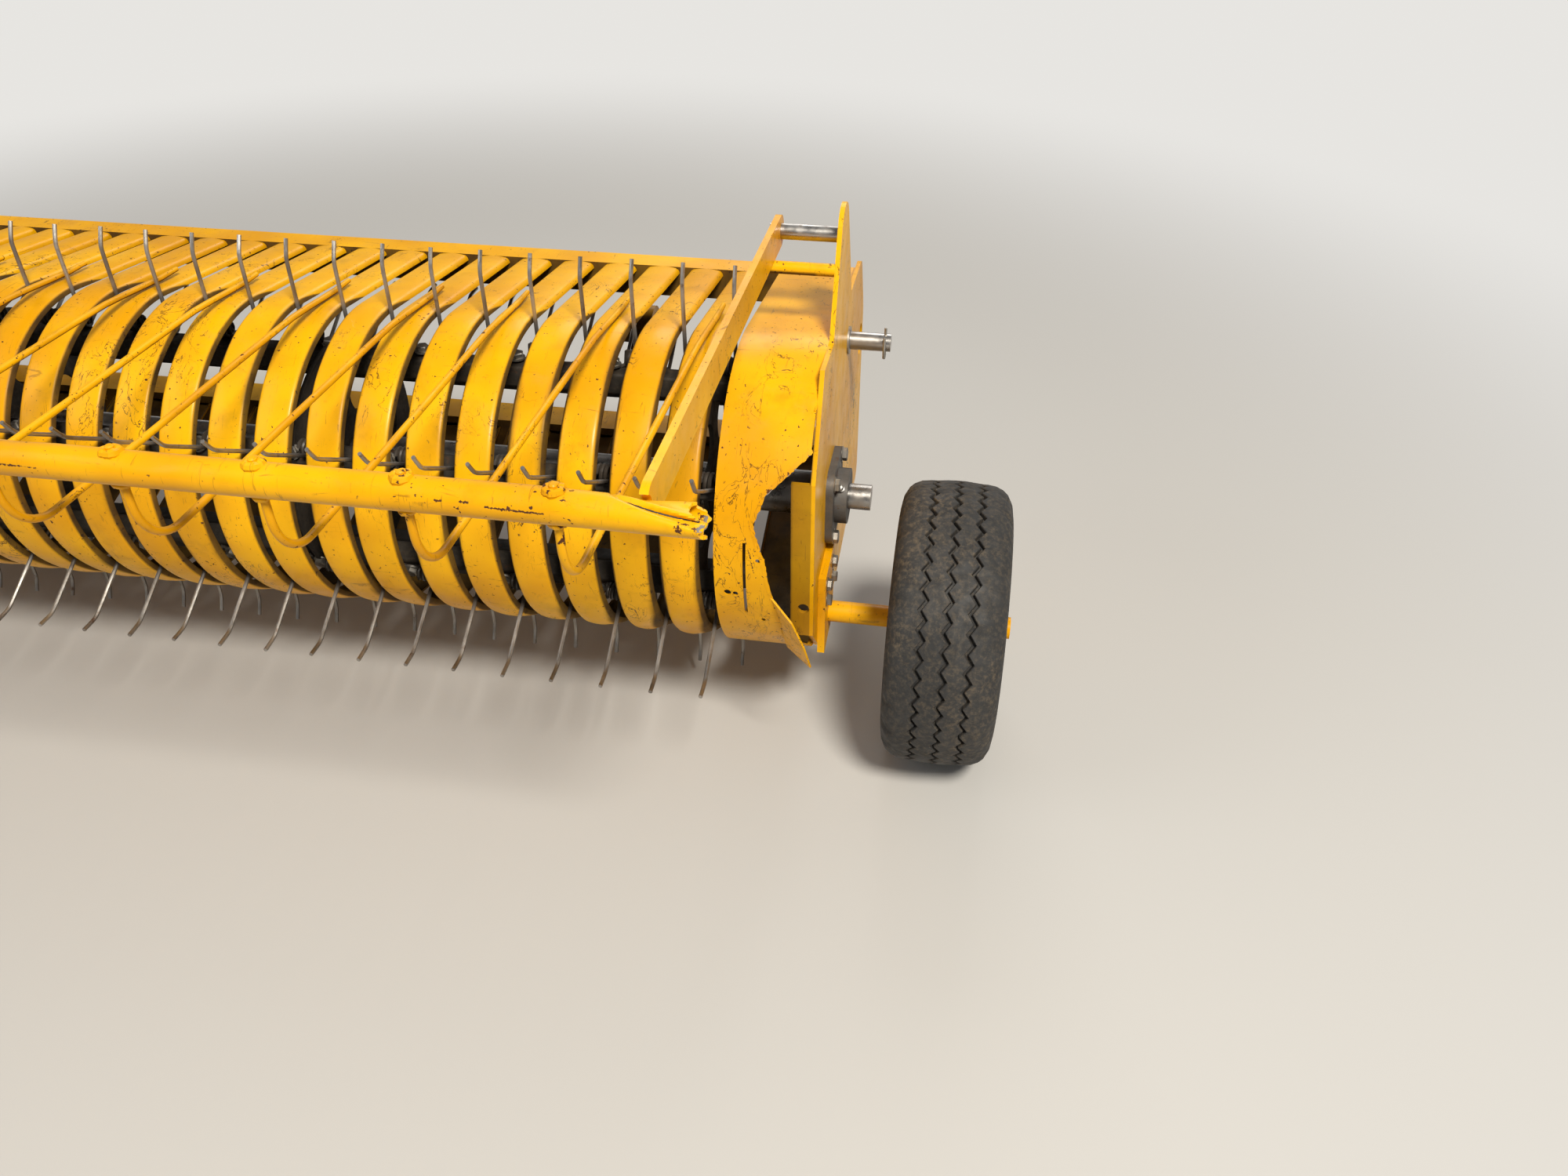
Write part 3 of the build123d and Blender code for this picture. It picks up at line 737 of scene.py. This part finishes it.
def pipe_point(x, angle, radius):
    """A point on the pipe's wall, creased towards its left end and dented along it."""
    share = crush_share(x)
    t = smooth_step(0.0, 1.0, share)
    turn = turn_between(angle, crease_angle(share))
    groove_depth = 0.0070 * t + 0.002 * smooth_step(0.0, 0.2, share)
    groove = groove_depth * math.exp(-((turn / math.radians(11)) ** 2))
    beyond = 0.006 * t * math.exp(-(((turn + math.radians(55)) / math.radians(42)) ** 2))
    reach = radius - groove - beyond
    for dent_x, dent_angle, depth, size in pipe_dents:
        off = turn_between(angle, dent_angle)
        reach -= depth * math.exp(-(((x - dent_x) / size) ** 2) - off**2 / 0.35)
    y = reach * math.cos(angle) * (1 + 0.16 * t)
    z = reach * math.sin(angle) * (1 - 0.10 * t) - 0.001 * t
    return Vector((x, guard_y + y, guard_z + z))


def guard_pipe_part(step=0.012, crush_steps=36, sides=56):
    """Open pipe with a round right end and a crushed, torn left one."""
    crush_from = pipe_end - crush_length
    stations = [-pipe_end + i * step for i in range(int((crush_from + pipe_end) / step))]
    stations += [crush_from + crush_length * i / crush_steps for i in range(crush_steps + 1)]

    def ring(x, radius, torn):
        points = []
        for a in turn_angles(sides):
            cut = 0.0
            if torn:
                lump = noise.noise(Vector((3 * math.cos(a), 3 * math.sin(a), 4.4)))
                cut = 0.004 + 0.006 * lump + 0.014 * max(0.0, math.sin(a + 0.3))
            points.append(pipe_point(min(x, pipe_end - cut) if torn else x, a, radius))
        return points

    near_end = pipe_end - 0.03
    outer = [ring(x, pipe_radius, x > near_end) for x in stations]
    inner = [ring(x, pipe_radius - pipe_wall, x > near_end) for x in reversed(stations)]
    rings = outer + inner
    bare = [smooth_step(pipe_end - 0.022, pipe_end - 0.004, point.x) for loop in rings for point in loop]
    return skin(rings, looped=True, wear=[0.12 + 0.88 * share for share in bare])


def rod_path(x, lean):
    """The rod's own line: down through the pipe, round its bend and back over the bands."""
    low = 0.246
    bend = 0.052
    front_y = guard_ahead + bend
    level_y = -0.040
    droop_y = -0.090
    end_y = guard_pivot_y - reel_y - 0.006
    path = [(x, guard_y, guard_z + pipe_radius + 0.006), (x, guard_y, guard_z)]
    path.append((x, guard_y, reel_z + low + bend))
    for i in range(1, 13):
        a = math.pi / 2 * i / 12
        path.append((x, *at_reel(front_y - bend * math.cos(a), low + bend * (1 - math.sin(a)))))
    for i in range(1, 17):
        share = i / 16
        y = front_y + (end_y - front_y) * share
        z = low - 0.006 * min(1.0, (y - front_y) / (level_y - front_y))
        z -= 0.012 * smooth_step(droop_y, end_y, y)
        path.append((x + lean * share**2, *at_reel(y, z)))
    return path


def crease_shade_line():
    """Dark tube laid along the bottom of the crease as painted shade, widest at the torn end."""
    path, sizes = [], []
    for i in range(33):
        share = 0.42 + 0.53 * i / 32
        x = pipe_end - crush_length * (1 - share)
        path.append(pipe_point(x, crease_angle(share), pipe_radius + 0.0005))
        rough = 0.8 + 0.4 * noise.noise(Vector((i * 0.7, 2.0, 0.0)))
        sizes.append(0.0003 + 0.0011 * smooth_step(0.42, 0.6, share) * rough)
    return tube(path, sizes, 6)


rods, beads = [], []
for i, x in enumerate(rod_places):
    lean = 0.006 * math.sin(i * 2.3 + 0.5)
    path = rod_path(x, lean)
    sizes = [rod_radius * 0.7] + [rod_radius] * (len(path) - 1) + [rod_radius * 0.8]
    path.insert(1, (x, path[0][1], path[0][2] - 0.0012))
    rods.append(tube(path, sizes, 14, 0.2))
    for height, thickness in ((pipe_radius - 0.0004, 0.0046), (-pipe_radius + 0.0006, 0.0036)):
        place = (x, guard_y, guard_z + height)
        beads.append(weld_bead(place, (0, 0, 1), rod_radius + 0.0020, thickness, i + height))
add_piece("guard_rods_round", joined(rods), "windguard", yellow_worn, ["guard_rods"])
add_piece("guard_pipe_crushed", guard_pipe_part(), "windguard", yellow, ["guard_pipe"])
# Painted shade in the crease: a thin dark tube along its bottom
add_piece("guard_crease", crease_shade_line(), "windguard", dark_steel)
add_piece("guard_welds", joined(beads), "windguard", yellow_worn)


# Reel: bars and spring tines

def on_bar(part, angle):
    """Turns a part drawn for a bar in plus Y round the reel axis."""
    matrix = Matrix.Translation((0, reel_y, reel_z)) @ Matrix.Rotation(math.radians(angle), 4, "X")
    return moved(part, matrix)


def bar_part():
    """Square tube with rounded corners and open ends."""
    half_length = plane_edge + bar_overhang
    corner = 0.004

    def loop(x, inset):
        reach = bar_side / 2 - inset - corner
        points = []
        for quarter, (way_y, way_z) in enumerate(((1, 1), (-1, 1), (-1, -1), (1, -1))):
            for i in range(4):
                a = math.pi / 2 * quarter + math.pi / 6 * i
                y = reach * way_y + corner * math.cos(a)
                z = reach * way_z + corner * math.sin(a)
                points.append(Vector((x, bar_circle + y, z)))
        return points

    ends = ((-half_length, 0), (half_length, 0), (half_length, bar_wall), (-half_length, bar_wall))
    return skin([loop(x, inset) for x, inset in ends], looped=True, wear=0.3)


def tine_unit(x, seed):
    """Two tines of one wire, each with its coil, between the planes at x and x plus a pitch."""
    coil = 0.0095
    turns = 2.75
    turn_width = tine_wire * 1.05
    sides = 7
    seat = bar_circle + bar_side / 2 + tine_wire / 2
    coil_y = seat + coil
    rise = tip_bend_length * math.sin(tip_bend_angle)
    run = tip_bend_length * math.cos(tip_bend_angle)
    knee = math.sqrt(tip_radius**2 - rise**2) - run

    def half_path(start, way, bend):
        points = []
        # The bent tip, from its end to beyond its knee, as shares of the tip's length
        for share in (1.0, 0.72, 0.48, 0.3, 0.16, 0.04, -0.08, -0.22, -0.42, -0.8):
            bent = (share + math.hypot(share, 0.24)) / (1 + math.hypot(1, 0.24))
            points.append((0.0, knee + run * share, bent * (0.3 * bend - rise)))
        points += [(0.0, coil_y + (knee - coil_y) * share, 0.0) for share in (0.6, 0.25)]
        steps = 33
        for i in range(steps + 1):
            a = math.pi / 2 + 2 * math.pi * turns * i / steps
            shift = way * turn_width * turns * i / steps
            points.append((shift, coil_y + coil * math.cos(a), -coil + coil * math.sin(a)))
        end = turn_width * turns
        points += [(way * (end + 0.003), seat, -0.010), (way * (end + 0.009), seat, -0.004)]
        return [Vector((start + px, py, pz)) for px, py, pz in points]

    bend = 0.004 * math.sin(seed * 1.7)
    first = half_path(x, 1, bend)
    second = half_path(x + tine_pitch, -1, -bend)
    path = first + list(reversed(second))
    wear = [smooth_step(0.19, 0.25, point.y) for point in path for _ in range(sides)]
    return tube(path, tine_wire / 2, sides, wear)


reel_parts, tine_parts, clip_parts = [], [], []
bar_angles = [180 + first_bar_angle + i * 360 / bar_count for i in range(bar_count)]
for row, angle in enumerate(bar_angles):
    reel_parts.append(on_bar(bar_part(), angle))
    for unit in range(tine_planes // 2):
        x = planes[2 * unit]
        tine_parts.append(on_bar(tine_unit(x, unit + row * 3), angle))
        seat = Vector((x + tine_pitch / 2, bar_circle + bar_side / 2, -0.002))
        low, high, foot = (seat + Vector((0, rise, 0)) for rise in (0.0045, 0.0075, 0.0072))
        clip_parts.append(on_bar(lathe([(0, 0.011), (0.8, 0.011), (1, 0.009)], low, high, 16), angle))
        clip_parts.append(on_bar(bolt(foot, (0, 1, 0), 0.010, washer=False), angle))
add_piece("reel_bars", joined(reel_parts), "reel", dark_steel, ["tine_rows"])
add_piece("spring_tines", joined(tine_parts), "reel", tine_steel, ["tine_rows"])
add_piece("tine_bolts", joined(clip_parts), "reel", zinc)

# Gauge wheels: ribbed tyres, and bolts on the rims

wheel_radius = wheel_z - floor_z
wheel_half = (tyre_high.x - tyre_low.x) / 2
bead_radius = 0.084
rim_bolts = 5
zigzags = 48
zigzag_width = 0.0042
shoulder_notch = 0.0045
groove_pitch = 0.031
groove_places = (-groove_pitch, 0.0, groove_pitch)
groove_outline = ((0.0036, 0.0), (0.0026, 0.001), (0.0019, 0.0075))
tread_crown = 2.2
bolt_circle = 0.056
disc_face = 0.0115


def wheel_place(side, x, radius, angle):
    """A place on a gauge wheel, from its middle, its axis and an angle round it."""
    y = wheel_y + radius * math.cos(angle)
    z = wheel_z + radius * math.sin(angle)
    return Vector((side * wheel_x + x, y, z))


def tread_radius(x):
    """Radius of the slightly crowned tread at a distance from its middle."""
    return wheel_radius - tread_crown * x**2


def tyre_outline(shift, notch):
    """Outline of a tyre from bead to bead: (x from its middle, radius)."""
    wall = [
        (-0.055, bead_radius - 0.003),
        (-0.060, bead_radius + 0.004),
        (-0.062, bead_radius + 0.010),
        (-0.0680, 0.103),
        (-0.0725, 0.116),
        (-wheel_half, 0.132),
        (-wheel_half, 0.147),
        (-0.0738, 0.1485),
        (-0.0735, 0.156),
        (-0.0745, 0.1575),
        (-0.0722, 0.170 - notch),
        (-0.0660, 0.1815 - notch),
        (-0.0600, 0.1868 - notch * 0.6),
        (-0.0500, 0.1912),
    ]
    tread = []
    for place in groove_places:
        top = tread_radius(place)
        tread += [(place + shift - reach, top - depth) for reach, depth in groove_outline]
        tread += [(place + shift + reach, top - depth) for reach, depth in reversed(groove_outline)]
        if place < groove_places[-1]:
            rib = place + groove_pitch / 2
            tread.append((rib, tread_radius(rib)))
    return wall + tread + [(-x, radius) for x, radius in reversed(wall)]


def tyre_part(side):
    """Tyre with three zigzag grooves, notched shoulders and ringed walls."""
    rings = []
    for i, a in enumerate(turn_angles(zigzags * 4)):
        shift = zigzag_width * (abs((i % 4) - 2) - 1)
        notch = shoulder_notch if i % 8 in (0, 1) else 0.0
        rings.append([wheel_place(side, x, radius, a) for x, radius in tyre_outline(shift, notch)])
    return skin(rings, looped=True)


def wheel_bolts(side):
    """Wheel bolts on the dished disc."""
    places = [wheel_place(side, side * disc_face, bolt_circle, a + 0.3) for a in turn_angles(rim_bolts)]
    return joined([bolt(place, (side, 0, 0), 0.010) for place in places])


for side, name in ((1, "left"), (-1, "right")):
    body = f"gauge_wheel_{name}"
    tyre = tyre_part(side)
    add_piece(f"tyre_ribbed_{name}", tyre, body, rubber, [f"tyre_{name}"], sharp=28)
    add_piece(f"wheel_bolts_{name}", wheel_bolts(side), body, zinc)

# Bolts, nipples, pins and welds on the frame

bearing_bolts = [(y, z) for z in (0.041, -0.041) for y in (0.041, -0.041)]
bracket_bolts = [(y, z) for z in (0.066, 0.040) for y in (-0.028, 0.028)]
nipple_outline = ((0, 0.0045), (0.35, 0.0045), (0.4, 0.0028), (0.75, 0.0028), (0.9, 0.0034), (1, 0.002))
nipple_way = Vector((0, -0.7, 0.7)).normalized()
nipple_height = 0.013
pin_washer_outline = ((0, 0.0195), (0.85, 0.0195), (1, 0.0185))
pin_washer_thickness = 0.003
clip_wire = 0.0019
clip_offset = 0.052
clip_places = (
    # rearward and up from the lift pin's axis
    (0.0, 0.022),
    (0.0, -0.018),
    (-0.006, -0.021),
    (-0.018, -0.015),
    (-0.020, 0.0),
    (-0.016, 0.014),
)
beam_corners = ((beam_low.y, beam_high.z), (beam_high.y, beam_high.z), (beam_low.y, beam_low.z))
end_welds = (
    # Y and Z, from and to, of the welds between the side plates, the rear beam and the top rail
    ((beam_low.y, beam_high.z), (beam_high.y, beam_high.z)),
    ((beam_low.y, beam_low.z), (beam_low.y, beam_high.z)),
    ((beam_low.y, beam_low.z), (beam_high.y, beam_low.z)),
    ((rail_low.y, rail_high.z), (rail_high.y, rail_high.z)),
    ((rail_low.y, rail_low.z), (rail_high.y, rail_low.z)),
)


def end_weld_parts(side):
    """Welds at one end: beam and rail to side plate, pivot arm to beam, end band to side plate."""
    parts = []
    x = side * side_inner
    for y, z in beam_corners:
        parts.append(lumpy_line((x, y, z - 0.002), (x - side * 0.002, y, z - 0.002), frame_weld, y))
    for number, (start, end) in enumerate(end_welds, 1):
        parts.append(lumpy_line((x, *start), (x, *end), frame_weld, number))
    for face in (-0.0055, 0.0055):
        start = Vector((side * pivot_x + face, beam_low.y + 0.004, beam_high.z + 0.0005))
        end = Vector((start.x, beam_high.y - 0.004, start.z))
        parts.append(lumpy_line(start, end, frame_weld, face * 900))
    x = side * (side_inner - 0.001)
    for height in (0.19, 0.205, 0.215):
        y, z = at_reel(-math.sqrt(band_radius**2 - (height - band_rise) ** 2), height)
        parts.append(lumpy_line((x, y, z), (x, y + 0.010, z + 0.003), band_weld, height))
    return parts


def lift_pin_parts(side):
    """Washer at the lift pin's root and a clip through its end."""
    root = Vector((side * side_outer, lift_y, lift_z))
    face = root + Vector((side * pin_washer_thickness, 0, 0))
    clip = [root + Vector((side * clip_offset, y, z)) for y, z in clip_places]
    return [lathe(pin_washer_outline, root, face, 28, 0.4), tube(clip, clip_wire, 8, 0.4)]


frame_bolts, frame_welds, pin_trim, nipples = [], [], [], []
for side in (1, -1):
    face = side * (side_outer + flange_depth)
    for y, z in bearing_bolts:
        frame_bolts.append(bolt((face, reel_y + y, reel_z + z), (side, 0, 0), 0.010))
    for y, z in bracket_bolts:
        frame_bolts.append(bolt((face, wheel_y + y, wheel_z + z), (side, 0, 0), 0.009))
    frame_welds += end_weld_parts(side)
    pin_trim += lift_pin_parts(side)

    # Grease nipples on the bearing housing and on the pivot bush
    for base in (
        Vector((side * (side_outer + bearing_depth), reel_y - 0.027, reel_z + 0.026)),
        Vector((side * pivot_x, -0.021, 0.021)),
    ):
        nipples.append(lathe(nipple_outline, base, base + nipple_way * nipple_height, 14, 0.4))
add_piece("frame_bolts", joined(frame_bolts), "frame", zinc)
add_piece("frame_welds", joined(frame_welds), "frame", yellow_worn)
add_piece("grease_nipples", joined(nipples), "frame", steel)
add_piece("pin_trim", joined(pin_trim), "frame", zinc)

# Chain case: folded seam round it and its cover bolts

case_width = 0.050
case_reel_radius = 0.105
case_pivot_radius = 0.070
bolt_inset = 0.013
seam_outline = (
    # shift along X, reach past the case
    (-0.0028, -0.001),
    (-0.0022, 0.0072),
    (-0.0012, 0.0080),
    (0.0012, 0.0080),
    (0.0022, 0.0072),
    (0.0028, -0.001),
)


def case_seam():
    """Lip where the two halves of the case meet, along the outline of its two round ends."""
    along = math.atan2(-reel_z, -reel_y)
    open_by = math.acos((case_reel_radius - case_pivot_radius) / math.hypot(reel_y, reel_z))
    middle = case_face + case_width / 2
    steps = 24
    rings = []
    for y, z, radius, start, sweep in (
        (reel_y, reel_z, case_reel_radius, along + open_by, 2 * math.pi - 2 * open_by),
        (0.0, 0.0, case_pivot_radius, along - open_by, 2 * open_by),
    ):
        for i in range(steps + 1):
            a = start + sweep * i / steps
            ring = []
            for shift, reach in seam_outline:
                rear = min(y + (radius + reach) * math.cos(a), cad_high.y)
                ring.append(Vector((middle + shift, rear, z + (radius + reach) * math.sin(a))))
            rings.append(ring)
    return skin(rings, looped=True, wear=0.35)


add_piece("case_seam", case_seam(), "frame", yellow_worn)
case_bolt_places = []
for y, z, radius, angles in (
    (reel_y, reel_z, case_reel_radius - bolt_inset, (60, 120, 180, 240, 300)),
    (0.0, 0.0, case_pivot_radius - bolt_inset, (75, 0, -75)),
):
    for angle in angles:
        a = math.radians(angle)
        case_bolt_places.append((y + radius * math.cos(a), z + radius * math.sin(a)))
along = Vector((-reel_y, -reel_z)).normalized()
for share in (0.33, 0.66):
    for turn in (1, -1):
        reach = case_reel_radius - bolt_inset + (case_pivot_radius - case_reel_radius) * share
        off = Vector((-along.y, along.x)) * turn * reach
        case_bolt_places.append((reel_y * (1 - share) + off.x, reel_z * (1 - share) + off.y))
case_bolts = [bolt((case_face, y, z), (-1, 0, 0), 0.008) for y, z in case_bolt_places]
add_piece("case_bolts", joined(case_bolts), "frame", zinc)

# Split pins through the inner ends of the windguard's pivots

split_inset = 0.0042
split_wire = 0.0014
split_places = ((0.0, 0.014), (0.0, -0.016), (-0.006, -0.019))
split_pins = []
for side in (1, -1):
    x = side * (guard_pin_end + split_inset)
    places = [(x, guard_pivot_y + y, guard_pivot_z + z) for y, z in split_places]
    split_pins.append(tube(places, split_wire, 6, 0.5))
add_piece("split_pins", joined(split_pins), "frame", steel)

# Floor, light and camera

backdrop = (0.80, 0.785, 0.755, 1.0)
floor_reach = 30.0
corner_ways = ((-1, -1), (1, -1), (1, 1), (-1, 1))
floor_corners = [(x * floor_reach, y * floor_reach, floor_z) for x, y in corner_ways]
floor_mesh = bpy.data.meshes.new("floor")
floor_mesh.from_pydata(floor_corners, [], [(0, 1, 2, 3)])
floor = bpy.data.objects.new("floor", floor_mesh)
bpy.context.scene.collection.objects.link(floor)


def floor_finish():
    """Pale matt floor that runs into the pale backdrop away from the object."""
    f = Finish("floor")
    f.shader.inputs["Base Color"].default_value = (0.50, 0.485, 0.46, 1.0)
    f.shader.inputs["Roughness"].default_value = 0.85
    f.shader.inputs["Specular IOR Level"].default_value = 0.2
    far = f.ramp(f.vector("LENGTH", f.place, output="Value"), 1.5, 3.4)
    rays = f.add("ShaderNodeLightPath")
    seen = f.math("MAXIMUM", rays.outputs["Is Camera Ray"], rays.outputs["Is Glossy Ray"])
    glow = f.add("ShaderNodeEmission")
    glow.inputs["Color"].default_value = backdrop
    mix = f.add("ShaderNodeMixShader")
    f.join(f.math("MULTIPLY", far, seen), mix.inputs[0])
    f.join(f.shader.outputs[0], mix.inputs[1])
    f.join(glow.outputs[0], mix.inputs[2])
    f.join(mix.outputs[0], f.tree.nodes["Material Output"].inputs["Surface"])
    return f.material


floor_mesh.materials.append(floor_finish())
floor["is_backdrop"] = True


def area_light(name, place, target, size, power, tint):
    """A round soft light that faces a target."""
    data = bpy.data.lights.new(name, "AREA")
    data.shape = "DISK"
    data.size = size
    data.energy = power
    data.color = tint
    light = bpy.data.objects.new(name, data)
    light.location = place
    light.rotation_euler = (Vector(target) - Vector(place)).to_track_quat("-Z", "Y").to_euler()
    bpy.context.scene.collection.objects.link(light)


middle = (cad_low + cad_high) / 2
area_light("key_light", (2.6, -3.4, 4.4), middle, 1.3, 420, (1.0, 0.95, 0.86))
area_light("fill_light", (-4.0, -2.5, 3.0), middle, 3.5, 65, (0.96, 0.98, 1.0))
area_light("back_light", (0.5, 4.5, 3.5), middle, 3.0, 90, (1.0, 0.99, 0.97))


def studio_world():
    """Soft light all round, with the plain backdrop where the camera looks past the floor."""
    world = bpy.data.worlds.new("studio")
    world.use_nodes = True
    nodes, links = world.node_tree.nodes, world.node_tree.links
    soft = nodes["Background"]
    soft.inputs["Color"].default_value = (0.90, 0.91, 0.93, 1.0)
    soft.inputs["Strength"].default_value = 0.27
    plain = nodes.new("ShaderNodeBackground")
    plain.inputs["Color"].default_value = backdrop
    plain.inputs["Strength"].default_value = 1.0
    mix = nodes.new("ShaderNodeMixShader")
    links.new(nodes.new("ShaderNodeLightPath").outputs["Is Camera Ray"], mix.inputs[0])
    links.new(soft.outputs[0], mix.inputs[1])
    links.new(plain.outputs[0], mix.inputs[2])
    links.new(mix.outputs[0], nodes["World Output"].inputs["Surface"])
    return world


bpy.context.scene.world = studio_world()

# Camera, as fitted to the photo
photo_width = 2000
focal_pixels = 1526.1
look_down = math.radians(36.52)
look_aside = math.radians(9.16)
camera_data = bpy.data.cameras.new("camera")
camera_data.sensor_width = 36.0
camera_data.lens = focal_pixels / photo_width * camera_data.sensor_width
camera = bpy.data.objects.new("camera", camera_data)
camera.location = (1.111, -1.734, 0.801)
camera.rotation_euler = (math.pi / 2 - look_down, 0, look_aside)
bpy.context.scene.collection.objects.link(camera)
bpy.context.scene.camera = camera
bpy.context.scene.view_settings.view_transform = "Standard"

low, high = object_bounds()
